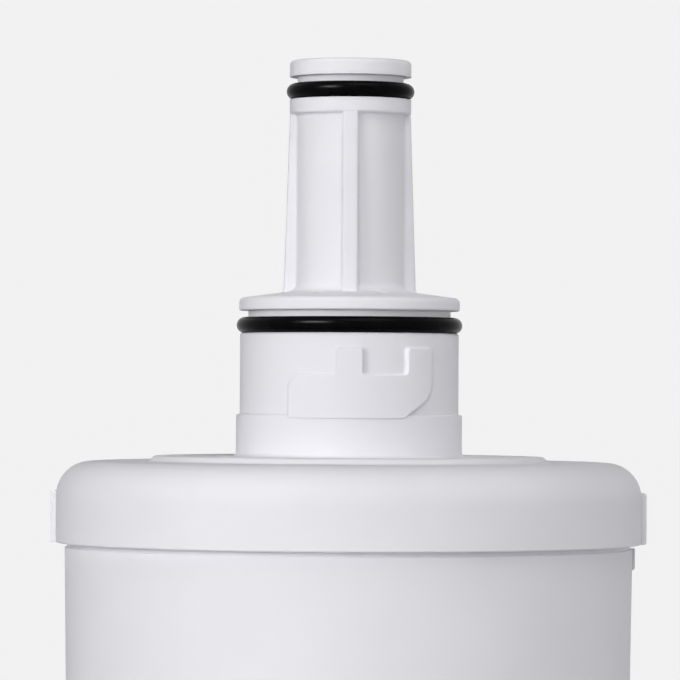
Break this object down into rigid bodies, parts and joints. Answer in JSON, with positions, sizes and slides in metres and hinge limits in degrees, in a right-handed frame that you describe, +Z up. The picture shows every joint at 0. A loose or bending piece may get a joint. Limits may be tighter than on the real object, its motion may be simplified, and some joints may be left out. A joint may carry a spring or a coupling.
{
  "type": "refrigerator water filter cartridge",
  "caption": "Upright push-and-twist water filter cartridge: white welded cup and lid, ribbed stem with black seal rings, neck with bayonet cams, and a carbon element inside.",
  "frame": {"origin": "centre of the cup's foot, on the surface that the cartridge stands on", "axes": "+Z up along the cartridge's axis towards the stem's tip, -Y the front, with one bayonet cam, and +X the side with the small lug under the lid"},
  "size_m": [0.0808, 0.0794, 0.212],
  "materials": {
    "housing_white": "satin moulded polypropylene, cool white",
    "seal_rubber": "black rubber with a faint grease sheen",
    "pressed_carbon": "dull sintered carbon grains",
    "fleece": "white spun fleece",
    "element_plastic": "plain moulded plastic"
  },
  "bodies": {
    "root": {"housing_lid": "housing_white", "housing_cup": "housing_white", "stem_o_ring": "seal_rubber", "neck_o_ring": "seal_rubber", "spigot_o_ring": "seal_rubber", "carbon_block": "pressed_carbon", "prefilter_wrap": "fleece", "top_end_cap": "element_plastic", "bottom_end_cap": "element_plastic"}
  },
  "joints": []
}
